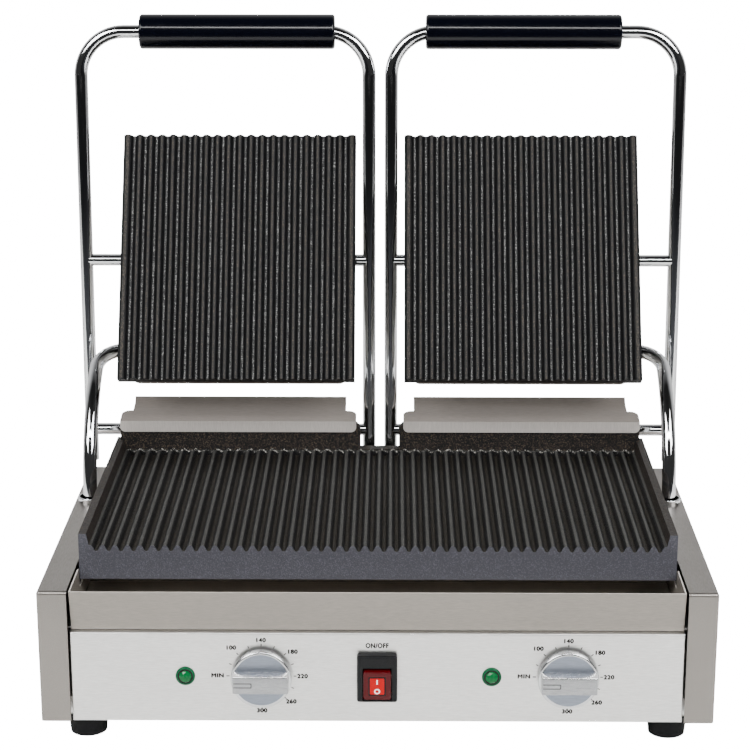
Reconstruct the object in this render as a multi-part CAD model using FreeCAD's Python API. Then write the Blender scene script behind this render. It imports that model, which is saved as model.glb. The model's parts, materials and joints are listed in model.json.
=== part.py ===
# Double contact grill (panini press): a stainless base with one wide ribbed cast-iron plate,
# two ribbed cast-iron lids on chromed U-frames, cable tubes, a drip tray and the controls.
# Millimetres, +Z up, the front faces -Y. The origin is the middle of the footprint, on the table.
import FreeCAD, Part
import math
import os

V = FreeCAD.Vector
X_AXIS = V(1, 0, 0)
Y_AXIS = V(0, 1, 0)
Z_AXIS = V(0, 0, 1)
ORIGIN = V(0, 0, 0)

# ---- base housing ----
base_width = 550.0
base_depth = 318.0
foot_height = 16.0
panel_height = 113.5
sheet = 1.5
bend_radius = 3.0
post_width = 24.5
deck_flange = 38.0
rear_flange = 20.0
pan_height = 16.0
fit_gap = 0.2
rear_screw_inset = 10.0
rear_screw_rise = 26.0
vent_slot = (3.0, 9.0)
vent_pitch = 16.0
vent_count = 11
vent_rises = (24.0, 38.0)
floor_slot = (4.0, 28.0)
floor_slot_pitch = 22.0
floor_slot_count = 13
floor_slot_rows = (110.0, 170.0)

# ---- front panel and controls ----
front_panel_height = 78.0
front_panel_gap = 1.5
front_panel_set_back = 1.0
front_panel_flange = 12.0
control_drop = 73.2
knob_x = {"left": -94.0, "right": 155.0}
lamp_to_knob = 62.0
knob_diameter = 49.4
knob_skirt = 6.0
knob_grip_height = 15.0
knob_depth = 20.5
knob_stand_off = 2.5
knob_edge_round = 1.5
shaft_diameter = 6.0
shaft_reach = 6.0
running_gap = 0.08
thermostat_bush = 9.0
thermostat_ear = 4.0
thermostat_width = 34.0
thermostat_height = 44.0
thermostat_depth = 37.0
lamp_bezel_diameter = 16.0
lamp_lens_diameter = 12.0
lamp_body_diameter = 12.4
lamp_body_length = 27.0
lamp_bezel_proud = 1.6
lamp_dome_rise = 3.0

# ---- rocker switch ----
bezel_width = 32.8
bezel_height = 40.8
bezel_proud = 7.0
bezel_chamfer = 2.0
bezel_drop = 73.0
switch_body_width = 27.2
switch_body_height = 35.6
switch_body_depth = 23.0
rocker_width = 23.0
rocker_height = 25.6
rocker_drop = 77.4
rocker_proud = 9.0
rocker_back = 4.0
rocker_tilt = 6.0
rocker_side_gap = 0.4
rocker_end_gap = 1.4
rocker_pin_diameter = 3.0
rocker_pin_reach = 1.2
rocker_axis_depth = 0.5

# ---- drip tray ----
tray_sheet = 1.3
tray_depth = 110.0
tray_lip_rake = 7.0
tray_height = 35.2
tray_side_gap = 2.0
tray_open_length = 50.0
tray_side_taper = 4.0
tray_rear_drop = 17.0
tray_bay_clearance = 5.0
rail_width = 16.0
rail_gap = 0.3
rail_web = 20.0

# ---- lower cast plate ----
deck_margin = 27.6
lower_front = 55.0
skirt_drop = 10.4
rib_tip_rise = 19.0
rim_rise = 29.0
rim_width = 6.5
rim_draft = 2.0
rib_pitch = 10.35
rib_depth = 5.0
groove_share = 0.64
groove_ledge = 1.2
groove_margin = 14.4
casting_skin = 10.0
cavity_wall = 11.0
seat_width = 10.5
rear_wall_thickness = 10.0
rear_wall_rise = 46.5
rear_wall_shoulder = 9.0
middle_rim_rise = 21.0
middle_gap = 36.0

# ---- hinge, frames and grips ----
hinge_behind_base = 19.0
hinge_rise = 31.0
hinge_rod_diameter = 11.0
frame_bar_diameter = 12.0
frame_gap = 20.4
frame_side_inset = 0.5
frame_lean = 2.985
frame_corner = 40.0
frame_tail = 30.0
handle_reach = 211.3
grip_diameter = 31.5
grip_length = 178.0
grip_end_round = 2.5
grip_relief = 1.6
grip_relief_length = 14.0
collar_diameter = 19.0
collar_width = 5.0
side_play = 0.4

# ---- upper cast plates and their covers ----
lid_mid_gap = 45.0
lid_side_inset = 8.9
lid_front_overlap = 9.7
lid_rear_clearance = 11.3
lid_angle = 61.9
lid_plate_thickness = 16.0
lid_edge_round = 2.5
rod_behind_face = 36.0
rod_ahead = 5.0
closed_gap = 1.0
lug_spacing = 140.0
lug_width = 14.0
lug_radius = 12.0
upper_groove_margin = 4.5
cover_sheet = 1.2
cover_height = 44.0
cover_side_inset = 6.5
cover_rear_inset = 6.0
cover_front_inset = 8.0
cover_round = 9.0
cover_rod_gap = 2.0
cover_rim_height = 12.0
cover_rim_wall = 5.0
cover_rim_gap = 0.3

# ---- cable tubes ----
tube_diameter = 12.5
tube_wall = 1.5
tube_inset = 13.7
tube_hole_from_rear = 97.0
tube_rest_offset = 1.0
tube_arc_radius = 122.2
tube_bend_radius = 25.0
tube_from_lid_edge = 36.8
tube_behind_face = 46.1
tube_tail = 8.0
tube_end_inside = 4.5
ring_bore = 18.4
ring_wall = 1.4
ring_height = 4.0
ring_neck = 1.5
swivel_diameter = 19.0
swivel_length = 4.2
swivel_spigot_wall = 1.2
swivel_spigot_length = 2.4

# ---- guards over the hinges ----
guard_sheet = 1.2
guard_outer_inset = 3.9
guard_inner_x = 22.0
guard_lip = 10.5
guard_lip_round = 5.0
guard_clearance = 0.5
guard_slope = 10.0
guard_full_depth = 22.5
guard_tab_inset = 10.0
guard_tab_depth = 14.0
guard_strip = 9.0
guard_strip_angle = 35.0
guard_corner_round = 8.0

# ---- brackets, springs and stop ----
bracket_from_tab = 19.0
bracket_inner_x = 52.0
bracket_width = 12.0
bracket_foot_width = 40.0
bracket_foot = 5.0
bracket_boss_radius = 12.5
bracket_bolt_spread = 13.0
bracket_bolt_drop = 37.0
bracket_foot_rise = 24.0
spring_wire = 3.0
spring_radius = 9.5
spring_turns = 9
spring_pitch = 4.0
stop_width = 44.0
stop_height = 20.0
stop_gap = 0.4

# ---- heaters, lagging and small parts ----
lower_heater_diameter = 8.0
lower_heater_margin = 18.0
lower_heater_runs = 4
clamp_width = 14.0
clamp_places = (0.38, 0.68)
upper_heater_diameter = 7.0
upper_heater_margin = 8.0
upper_heater_loop = 36.0
upper_heater_ends = 24.0
reflector_sheet = 1.2
lagging_thickness = 20.0
foot_top_diameter = 33.0
foot_bottom_diameter = 30.0
foot_inset_x = 36.0
foot_inset_y = 20.5
foot_screw_diameter = 4.0
bolt_diameter = 5.0
bolt_head_diameter = 9.0
bolt_head_height = 3.2
bolt_length = 8.0
cover_screw_diameter = 4.0
cover_screw_head = 7.0
cover_screw_head_height = 2.2
cover_screw_length = 7.0
cover_screw_spread = 60.0
cover_screw_rise = 6.5
gland_x = 200.0
gland_rise = 36.0
gland_thread = 16.0
gland_bore = 8.4
gland_flange_radius = 12.0
gland_flange_length = 7.0
gland_dome_radius = 9.0
gland_dome_length = 10.0
gland_nut_length = 5.0
terminal_block_size = (56.0, 22.0, 17.0)
terminal_block_x = 178.0
terminal_block_from_rear = 61.0
terminal_slot = 2.0
terminal_pitch = 14.0

# ---- worked out from the driving sizes ----
half_width = base_width / 2
deck = foot_height + panel_height
lower_half = half_width - deck_margin
tip = deck + rib_tip_rise
groove_floor = tip - rib_depth
skirt = deck - skirt_drop
cavity_top = groove_floor - casting_skin
control_z = deck - control_drop
front_top = foot_height + front_panel_height
front_half = half_width - post_width - front_panel_gap
front_face = front_panel_set_back
front_back = front_face + sheet
tray_half = half_width - post_width - tray_side_gap
tray_floor = deck - tray_height
seat_edge = half_width - deck_flange
tray_bay = tray_depth + tray_bay_clearance
groove_half = groove_share * rib_pitch / 2
rocker_y = front_face + rocker_axis_depth
rocker_z = deck - rocker_drop
gland_height = foot_height + gland_rise

hinge_y = base_depth + hinge_behind_base
hinge_z = deck + hinge_rise
outer_leg = half_width - frame_side_inset
inner_leg = frame_gap / 2
frame_centre = (outer_leg + inner_leg) / 2
wall_front = base_depth - rear_wall_thickness

lid_outer = lower_half - lid_side_inset
lid_inner = lid_mid_gap / 2
lid_width = lid_outer - lid_inner
lid_x = (lid_outer + lid_inner) / 2
lid_front_closed = lower_front + lid_front_overlap
lid_rear_closed = wall_front - lid_rear_clearance
lid_length = lid_rear_closed - lid_front_closed
closed_rod_y = lid_front_closed + lid_length / 2 - rod_ahead
closed_rod_z = tip + closed_gap + rod_behind_face
rod_distance = math.hypot(hinge_y - closed_rod_y, closed_rod_z - hinge_z)
bar_distance = rod_distance + handle_reach
rest_angle = 90.0 - frame_lean
closed_angle = 180.0 - math.degrees(math.asin((closed_rod_z - hinge_z) / rod_distance))
lift_travel = closed_angle - rest_angle
lid_travel = 180.0 - lid_angle
float_travel = lid_travel - lift_travel
rod_y = hinge_y + rod_distance * math.cos(math.radians(rest_angle))
rod_z = hinge_z + rod_distance * math.sin(math.radians(rest_angle))

lid_front = -(lid_length / 2 - rod_ahead)
lid_rear = lid_length / 2 + rod_ahead
lid_face = -rod_behind_face
lid_back = lid_face + lid_plate_thickness
cover_half = lid_width / 2 - cover_side_inset
cover_front = lid_front + cover_front_inset
cover_rear = lid_rear - cover_rear_inset
cover_top = lid_back + cover_height
cover_screw_z = lid_back + cover_screw_rise
swivel_y = lid_rear - tube_from_lid_edge
swivel_z = lid_face + tube_behind_face
swivel_spigot = tube_diameter + 2 * swivel_spigot_wall

tube_x = half_width - tube_inset
tube_hole_y = base_depth - tube_hole_from_rear

guard_outer = lower_half - guard_outer_inset
guard_front = wall_front - guard_clearance - guard_sheet
bracket_outer_x = guard_outer - guard_tab_inset - bracket_from_tab
bracket_x = {"left_outer": -bracket_outer_x, "left_inner": -bracket_inner_x,
             "right_inner": bracket_inner_x, "right_outer": bracket_outer_x}
bracket_bolt_z = deck - bracket_bolt_drop

rear_screw_places = []
foot_places = {}
for name, side in (("left", -1), ("right", 1)):
    for height in (foot_height + rear_screw_rise, deck - rear_screw_rise):
        rear_screw_places.append((side * (half_width - rear_screw_inset), height))
    foot_x = side * (half_width - foot_inset_x)
    foot_places["front_" + name] = (foot_x, foot_inset_y)
    foot_places["rear_" + name] = (foot_x, base_depth - foot_inset_y)


def box(x0, x1, y0, y1, z0, z1):
    return Part.makeBox(x1 - x0, y1 - y0, z1 - z0, V(x0, y0, z0))


def bar_x(x0, x1, y, z, radius):
    return Part.makeCylinder(radius, x1 - x0, V(x0, y, z), X_AXIS)


def bar_y(y0, y1, x, z, radius):
    return Part.makeCylinder(radius, y1 - y0, V(x, y0, z), Y_AXIS)


def bar_z(z0, z1, x, y, radius):
    return Part.makeCylinder(radius, z1 - z0, V(x, y, z0), Z_AXIS)


def prism(points, length):
    """A flat outline, given as a list of corners, pulled along a vector."""
    corners = [V(*p) for p in points]
    outline = Part.makePolygon(corners + [corners[0]])
    return Part.Face(outline).extrude(length)


def prism_yz(points, x0, x1):
    return prism([(x0, y, z) for y, z in points], V(x1 - x0, 0, 0))


def fused(shapes):
    return shapes[0].multiFuse(shapes[1:]).removeSplitter()


def mirrored(shape):
    return shape.mirror(ORIGIN, X_AXIS)


def edges_where(shape, wanted):
    """The straight edges whose middle point and direction the test accepts."""
    picked = []
    for edge in shape.Edges:
        if not isinstance(edge.Curve, (Part.Line, Part.LineSegment)):
            continue
        ends = [v.Point for v in edge.Vertexes]
        if len(ends) == 2 and wanted((ends[0] + ends[1]) * 0.5, (ends[1] - ends[0]).normalize()):
            picked.append(edge)
    return picked


def near(value, target):
    return abs(value - target) < 0.01


def bolt_hole(x, z):
    """A clearance hole through the rear of the housing."""
    return bar_y(base_depth - 10, base_depth + bracket_foot + 1, x, z, (bolt_diameter + fit_gap) / 2)


def bolt(x, z, face, grip_length):
    """A bolt from the rear: its head sits on a face and its shank reaches forwards."""
    shank = bar_y(face - grip_length, face, x, z, bolt_diameter / 2)
    return shank.fuse(bar_y(face, face + bolt_head_height, x, z, bolt_head_diameter / 2)).removeSplitter()


def bent_bar(point, heading, steps, radius):
    """A round bar along straight runs and tangent turns; a turn is (axis, bend radius, degrees)."""
    pieces = []
    for step in steps:
        disc = Part.Face(Part.Wire(Part.makeCircle(radius, point, heading)))
        if len(step) == 1:
            pieces.append(disc.extrude(heading * step[0]))
            point = point + heading * step[0]
            continue
        axis, bend, degrees = step
        centre = point + axis.cross(heading) * bend
        pieces.append(disc.revolve(centre, axis, degrees))
        turn = FreeCAD.Rotation(axis, degrees)
        point = centre + turn.multVec(point - centre)
        heading = turn.multVec(heading)
    return fused(pieces)


def circles_meet(p, p_radius, q, q_radius):
    """The point that lies at both distances, on the rear side of the line from p to q."""
    gap = math.hypot(q[0] - p[0], q[1] - p[1])
    along = (p_radius ** 2 - q_radius ** 2 + gap ** 2) / (2 * gap)
    aside = math.sqrt(p_radius ** 2 - along ** 2)
    unit_y = (q[0] - p[0]) / gap
    unit_z = (q[1] - p[1]) / gap
    return (p[0] + along * unit_y + aside * unit_z, p[1] + along * unit_z - aside * unit_y)


# ---- base housing ----

def side_panel():
    x0 = -half_width
    outer = box(x0, x0 + deck_flange, 0, base_depth, foot_height, deck)

    def corner(p, d):
        outer_side = near(p.x, x0) and (near(p.z, deck) or near(p.y, 0) or near(p.y, base_depth))
        top_ends = near(p.z, deck) and (near(p.y, 0) or near(p.y, base_depth))
        return outer_side and not near(p.z, foot_height) or top_ends

    outer = outer.makeFillet(bend_radius, edges_where(outer, corner))
    inner = box(x0 + sheet, x0 + deck_flange + 1, sheet, base_depth - sheet, foot_height - 1, deck - sheet)

    def inner_corner(p, d):
        side = near(p.x, x0 + sheet) and not near(p.z, foot_height - 1)
        return side and (near(p.z, deck - sheet) or near(p.y, sheet) or near(p.y, base_depth - sheet))

    inner = inner.makeFillet(bend_radius - sheet, edges_where(inner, inner_corner))
    panel = outer.cut(inner)
    bay = box(x0 + post_width, x0 + deck_flange + 1, -1, tray_bay, 0, deck + 1)
    tail = box(x0 + rear_flange, x0 + deck_flange + 1, base_depth - sheet - 1, base_depth + 1,
               0, deck - sheet)
    hole = bar_z(deck - 5, deck + 5, -tube_x, tube_hole_y, ring_bore / 2 + ring_wall / 2)
    panel = panel.cut(fused([bay, tail]).fuse(hole))
    for screw_x, screw_z in rear_screw_places:
        if screw_x < 0:
            panel = panel.cut(bolt_hole(screw_x, screw_z))
    return panel


def front_panel():
    outer = box(-front_half, front_half, front_face, front_face + front_panel_flange,
                foot_height, front_top)
    outer = outer.makeFillet(bend_radius / 2, edges_where(outer, lambda p, d: near(p.y, front_face)))
    inner = box(-front_half + sheet, front_half - sheet, front_back, front_face + front_panel_flange + 1,
                foot_height + sheet, front_top - sheet)
    panel = outer.cut(inner)
    for x in knob_x.values():
        panel = panel.cut(bar_y(-1, 5, x, control_z, thermostat_bush / 2 + fit_gap))
        panel = panel.cut(bar_y(-1, 5, x - lamp_to_knob, control_z, lamp_body_diameter / 2 + fit_gap))
    half = switch_body_width / 2 + fit_gap
    low = deck - bezel_drop - switch_body_height / 2 - fit_gap
    opening = box(-half, half, -1, 5, low, low + switch_body_height + 2 * fit_gap)
    return panel.cut(opening)


def rear_panel():
    reach = half_width - bend_radius - fit_gap
    panel = box(-reach, reach, base_depth - 2 * sheet, base_depth - sheet, foot_height, skirt - 2)
    cuts = [bolt_hole(x, z) for x, z in rear_screw_places]
    for x in bracket_x.values():
        cuts.append(bolt_hole(x - bracket_bolt_spread, bracket_bolt_z))
        cuts.append(bolt_hole(x + bracket_bolt_spread, bracket_bolt_z))
    cuts.append(bar_y(base_depth - 10, base_depth + 5, gland_x, gland_height, gland_thread / 2 + fit_gap))
    width, height = vent_slot
    for rise in vent_rises:
        for i in range(vent_count):
            x = (i - (vent_count - 1) / 2) * vent_pitch
            low = foot_height + rise
            cuts.append(box(x - width / 2, x + width / 2, base_depth - 10, base_depth, low, low + height))
    return panel.cut(cuts[0].multiFuse(cuts[1:]))


def base_pan():
    x1 = half_width - sheet - fit_gap
    y0 = front_face + front_panel_flange + 0.5
    y1 = base_depth - 2 * sheet - 0.5
    pan = box(-x1, x1, y0, y1, foot_height, foot_height + pan_height)
    pan = pan.cut(box(-x1 + sheet, x1 - sheet, y0 + sheet, y1 - sheet, foot_height + sheet, deck))
    cuts = [bar_z(0, deck, x, y, foot_screw_diameter / 2 + fit_gap / 2) for x, y in foot_places.values()]
    width, length = floor_slot
    for row in floor_slot_rows:
        for i in range(floor_slot_count):
            x = (i - (floor_slot_count - 1) / 2) * floor_slot_pitch
            cuts.append(box(x - width / 2, x + width / 2, row, row + length, 0, foot_height + pan_height))
    return pan.cut(cuts[0].multiFuse(cuts[1:]))


def foot(x, y):
    body = Part.makeCone(foot_bottom_diameter / 2, foot_top_diameter / 2, foot_height, V(x, y, 0))
    recess = bar_z(-1, foot_height / 2, x, y, foot_screw_diameter + 1)
    hole = bar_z(-1, foot_height + 1, x, y, foot_screw_diameter / 2 + fit_gap / 2)
    return body.cut(recess.fuse(hole))


def foot_screws():
    screws = []
    for x, y in foot_places.values():
        shank = bar_z(foot_height / 2, foot_height + 8, x, y, foot_screw_diameter / 2)
        head = bar_z(foot_height / 2 - 2.5, foot_height / 2, x, y, foot_screw_diameter)
        screws.append(shank.fuse(head).removeSplitter())
    return Part.makeCompound(screws)


# ---- drip tray ----

def drip_tray():
    half = tray_half
    front = prism_yz([(0, deck), (tray_sheet, deck), (tray_lip_rake + tray_sheet, tray_floor),
                      (tray_lip_rake, tray_floor)], -half, half)
    floor = box(-half, half, tray_lip_rake, tray_depth, tray_floor, tray_floor + tray_sheet)
    rear_top = deck - tray_rear_drop
    rear = box(-half, half, tray_depth - tray_sheet, tray_depth, tray_floor, rear_top)
    side = [(0, deck), (tray_open_length, deck), (tray_open_length + tray_side_taper, rear_top),
            (tray_depth, rear_top), (tray_depth, tray_floor), (tray_lip_rake, tray_floor)]
    left = prism_yz(side, -half, -half + tray_sheet)
    return fused([front, floor, rear, left, mirrored(left)])


def tray_rails():
    shelf_z = tray_floor - rail_gap
    x0 = -half_width + sheet + fit_gap
    x1 = -tray_half + rail_width
    y0 = front_face + front_panel_flange + 1
    y1 = tray_depth
    shelf = box(x0, x1, y0, y1, shelf_z - sheet, shelf_z)
    web = box(x0, x0 + sheet, y0, y1, shelf_z - rail_web, shelf_z)
    rail = fused([shelf, web])
    return Part.makeCompound([rail, mirrored(rail)])


# ---- lower cast plate, heaters and lagging ----

def rib_edges(centres, crest_z, depth, half_crest):
    """Round-bottomed grooves cut from a crest height, as edges from left to right along X."""
    shoulder = 0.18 * depth
    root = 0.6 * depth
    root_half = 0.6 * half_crest
    edges = []
    previous = None
    for x in centres:
        start = V(x - half_crest, 0, crest_z - shoulder)
        if previous is not None:
            top = V((previous.x + start.x) / 2, 0, crest_z)
            edges.append(Part.Arc(previous, top, start).toShape())
        left = V(x - root_half, 0, crest_z - root)
        right = V(x + root_half, 0, crest_z - root)
        end = V(x + half_crest, 0, crest_z - shoulder)
        edges.append(Part.LineSegment(start, left).toShape())
        edges.append(Part.Arc(left, V(x, 0, crest_z - depth), right).toShape())
        edges.append(Part.LineSegment(right, end).toShape())
        previous = end
    return edges


def lower_plate():
    count = int((2 * lower_half - 2 * groove_margin) / rib_pitch + 0.01) + 1
    first = -(count - 1) * rib_pitch / 2
    grooves = rib_edges([first + i * rib_pitch for i in range(count)], tip, rib_depth, groove_half)
    start = grooves[0].Vertexes[0].Point
    end = V(-start.x, 0, start.z)
    left = [V(start.x - groove_ledge, 0, tip), V(-lower_half + rim_width + rim_draft, 0, tip),
            V(-lower_half + rim_width, 0, deck + rim_rise), V(-lower_half, 0, deck + rim_rise),
            V(-lower_half, 0, skirt)]
    right = [V(-p.x, 0, p.z) for p in reversed(left)]
    outline = Part.makePolygon([end] + right[::-1] + left[::-1] + [start])
    profile = Part.Wire(grooves + outline.Edges)
    body = Part.Face(profile).extrude(V(0, base_depth - lower_front, 0))
    body.translate(V(0, lower_front, 0))

    wall_inner = middle_gap / 2
    wall_outer = lower_half - 4.0
    wall = box(-wall_outer, -wall_inner, wall_front, base_depth, skirt, deck + rear_wall_rise)
    wall = wall.makeFillet(rear_wall_shoulder, edges_where(
        wall, lambda p, d: near(p.z, deck + rear_wall_rise) and near(abs(d.y), 1)))
    low_rim = box(-wall_outer, wall_outer, wall_front, base_depth, skirt, deck + middle_rim_rise)
    body = fused([body, wall, mirrored(wall), low_rim])

    cavity_half = lower_half - cavity_wall - seat_width
    cuts = []
    for x0, x1 in ((-cavity_half, -cavity_wall / 2), (cavity_wall / 2, cavity_half)):
        cuts.append(box(x0, x1, lower_front + cavity_wall, wall_front - cavity_wall / 2,
                        skirt - 1, cavity_top))
    for side in (-1, 1):
        edge = side * (seat_edge - 0.5)
        far = side * (lower_half + 1)
        cuts.append(box(min(edge, far), max(edge, far), tray_bay - 0.5, base_depth + 1, skirt - 1, deck))
    return body.cut(cuts[0].multiFuse(cuts[1:]))


def lower_heater():
    x0 = -(lower_half - cavity_wall - seat_width) + lower_heater_margin
    x1 = -cavity_wall - lower_heater_margin
    pitch = (x1 - x0) / (lower_heater_runs - 1)
    rear = wall_front - 22.0
    front = lower_front + cavity_wall + 14.0 + pitch / 2
    inner_rear = rear - pitch / 2 - 8.0
    steps = [(rear - front,), (Z_AXIS, pitch / 2, 180), (inner_rear - front,), (Z_AXIS * -1, pitch / 2, 180),
             (inner_rear - front,), (Z_AXIS, pitch / 2, 180), (rear - front,)]
    z = cavity_top - lower_heater_diameter / 2 - fit_gap
    return bent_bar(V(x0, rear, z), V(0, -1, 0), steps, lower_heater_diameter / 2)


def heater_clamps():
    bars = []
    low = skirt
    high = cavity_top - lower_heater_diameter - fit_gap
    reach = lower_half - cavity_wall - seat_width - 4.0
    for x0, x1 in ((-reach, -cavity_wall - 4), (cavity_wall + 4, reach)):
        for share in clamp_places:
            y0 = lower_front + share * (wall_front - lower_front) - clamp_width / 2
            bars.append(box(x0, x1, y0, y0 + clamp_width, low, high))
    return Part.makeCompound(bars)


def reflector():
    reach = seat_edge - 4.0
    return box(-reach, reach, lower_front + 4, wall_front + 2, skirt - reflector_sheet, skirt)


def lagging():
    reach = lower_half - cavity_wall - seat_width
    high = skirt - reflector_sheet
    return box(-reach, reach, tray_depth + 12, wall_front - 6, high - lagging_thickness, high)


# ---- controls ----

def thermostat(x):
    half = thermostat_width / 2
    rise = thermostat_height / 2
    ear = half + thermostat_ear
    plate = box(x - ear, x + ear, front_back, front_back + sheet, control_z - ear, control_z + ear)
    body = box(x - half, x + half, front_back + sheet, front_back + thermostat_depth,
               control_z - rise, control_z + rise)
    bush = bar_y(front_face - 1, front_back, x, control_z, thermostat_bush / 2)
    tip_y = front_face - knob_stand_off - knob_depth + shaft_reach
    shaft = bar_y(tip_y, front_face, x, control_z, shaft_diameter / 2)
    return fused([plate, body, bush, shaft])


def knob(x):
    back = front_face - knob_stand_off
    face = back - knob_skirt
    front = back - knob_depth
    radius = knob_diameter / 2
    skirt_disc = bar_y(face, back, x, control_z, radius)
    rim = [e for e in skirt_disc.Edges if near(e.CenterOfMass.y, face) and near(e.Length, math.tau * radius)]
    skirt_disc = skirt_disc.makeFillet(knob_edge_round, rim)
    grip = box(x - radius + 0.5, x + radius - 0.5, front, face + 1,
               control_z - knob_grip_height / 2, control_z + knob_grip_height / 2)
    grip = grip.common(bar_y(front, face + 1, x, control_z, radius - 0.5))
    grip = grip.makeFillet(knob_edge_round, [e for e in grip.Edges if near(e.CenterOfMass.y, front)])
    bore = bar_y(front + shaft_reach - 2, back + 1, x, control_z, shaft_diameter / 2 + running_gap)
    return fused([skirt_disc, grip]).cut(bore)


def pilot_lamp(x):
    proud = front_face - lamp_bezel_proud
    bezel = bar_y(proud, front_face, x, control_z, lamp_bezel_diameter / 2)
    rim = [e for e in bezel.Edges
           if near(e.CenterOfMass.y, proud) and near(e.Length, math.pi * lamp_bezel_diameter)]
    bezel = bezel.makeFillet(0.45 * lamp_bezel_proud, rim)
    half = lamp_lens_diameter / 2
    ball = (half ** 2 + lamp_dome_rise ** 2) / (2 * lamp_dome_rise)
    centre_y = proud - lamp_dome_rise + ball
    dome = Part.makeSphere(ball, V(x, centre_y, control_z))
    dome = dome.common(bar_y(front_face - 10, front_face, x, control_z, half))
    body = bar_y(front_face, front_face + lamp_body_length, x, control_z, lamp_body_diameter / 2)
    return fused([bezel, dome, body])


def switch_housing():
    z0 = deck - bezel_drop - bezel_height / 2
    half = bezel_width / 2
    proud = front_face - bezel_proud
    bezel = box(-half, half, proud, front_face, z0, z0 + bezel_height)
    bezel = bezel.makeFillet(bezel_chamfer, edges_where(
        bezel, lambda p, d: near(p.y, proud) or near(abs(d.y), 1)))
    low = deck - bezel_drop - switch_body_height / 2
    body = box(-switch_body_width / 2, switch_body_width / 2, front_face, front_face + switch_body_depth,
               low, low + switch_body_height)
    x1 = rocker_width / 2 + rocker_side_gap
    reach = rocker_height / 2 + rocker_end_gap
    opening = box(-x1, x1, proud - 1, rocker_y + 2 * rocker_back, rocker_z - reach, rocker_z + reach)
    socket = x1 + rocker_pin_reach + fit_gap
    pin = bar_x(-socket, socket, rocker_y, rocker_z, rocker_pin_diameter / 2 + running_gap)
    return fused([bezel, body]).cut(opening.fuse(pin))


def rocker():
    body = box(-rocker_width / 2, rocker_width / 2, rocker_y - rocker_proud, rocker_y + rocker_back,
               rocker_z - rocker_height / 2, rocker_z + rocker_height / 2)
    body = body.makeFillet(bezel_chamfer / 2, edges_where(
        body, lambda p, d: near(p.y, rocker_y - rocker_proud)))
    reach = rocker_width / 2 + rocker_side_gap + rocker_pin_reach
    body = body.fuse(bar_x(-reach, reach, rocker_y, rocker_z, rocker_pin_diameter / 2)).removeSplitter()
    body.rotate(V(0, rocker_y, rocker_z), X_AXIS, rocker_tilt)
    return body


def terminal_block():
    width, depth, height = terminal_block_size
    x = terminal_block_x
    y = base_depth - terminal_block_from_rear
    floor = foot_height + sheet
    block = box(x - width / 2, x + width / 2, y - depth / 2, y + depth / 2, floor, floor + height)
    for side in (-1, 0, 1):
        middle = x + side * terminal_pitch
        block = block.cut(box(middle - terminal_slot / 2, middle + terminal_slot / 2, y - depth, y + depth,
                              floor + height / 2, floor + height + 1))
    return block


def cable_gland():
    wall = base_depth - sheet
    neck = wall + gland_flange_length
    end = neck + gland_dome_length
    inside = wall - sheet - gland_nut_length
    corners = []
    for i in range(6):
        turn = math.radians(60 * i)
        corners.append((gland_x + gland_flange_radius * math.cos(turn), wall,
                        gland_height + gland_flange_radius * math.sin(turn)))
    flange = prism(corners, V(0, gland_flange_length, 0))
    dome = bar_y(neck, end, gland_x, gland_height, gland_dome_radius)
    around = math.tau * gland_dome_radius
    mouth = [e for e in dome.Edges if near(e.CenterOfMass.y, end) and near(e.Length, around)]
    dome = dome.makeFillet(gland_dome_radius / 3, mouth)
    thread = bar_y(inside - gland_nut_length, wall, gland_x, gland_height, gland_thread / 2)
    nut = bar_y(inside, wall - sheet, gland_x, gland_height, gland_flange_radius)
    bore = bar_y(inside - 20, end + 1, gland_x, gland_height, gland_bore / 2)
    return fused([flange, dome, thread, nut]).cut(bore)


# ---- hinge: brackets, springs, guards, stop ----

def guard_underside(y):
    slope = math.radians(guard_slope)
    lip_top = deck + rear_wall_rise + guard_clearance + guard_sheet
    return lip_top + (y - guard_front) * math.tan(slope) - guard_sheet / math.cos(slope)


def guard():
    x0 = -guard_outer
    x1 = -guard_inner_x
    lip_top = deck + rear_wall_rise + guard_clearance + guard_sheet
    slope = math.radians(guard_slope)
    lip = box(x0, x1, guard_front, guard_front + guard_sheet, lip_top - guard_lip, lip_top)
    lip = lip.makeFillet(guard_lip_round, edges_where(
        lip, lambda p, d: near(abs(d.y), 1) and near(p.z, lip_top - guard_lip)))
    full = guard_full_depth * math.cos(slope)
    whole = (guard_full_depth + guard_tab_depth) * math.cos(slope)
    drop = guard_sheet / math.cos(slope)

    def flat(depth, left, right):
        end = guard_front + depth
        top = lip_top + depth * math.tan(slope)
        corners = [(guard_front, lip_top), (end, top), (end, top - drop), (guard_front, lip_top - drop)]
        return prism_yz(corners, left, right)

    footprint = box(x0, x1, guard_front, guard_front + full, deck, 2 * lip_top)
    footprint = footprint.makeFillet(guard_corner_round, edges_where(
        footprint, lambda p, d: near(p.y, guard_front + full) and near(abs(d.z), 1)))
    wide = flat(full, x0, x1).common(footprint)
    narrow = flat(whole, x0 + guard_tab_inset, x1 - guard_tab_inset)
    rear_y = guard_front + whole
    rear_z = lip_top + whole * math.tan(slope)
    up = math.radians(guard_strip_angle)
    dy = guard_strip * math.cos(up)
    dz = guard_strip * math.sin(up)
    strip = prism_yz([(rear_y, rear_z), (rear_y + dy, rear_z + dz), (rear_y + dy, rear_z + dz - drop),
                      (rear_y, rear_z - drop)], x0 + guard_tab_inset, x1 - guard_tab_inset)
    return fused([lip, wide, narrow, strip])


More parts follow.
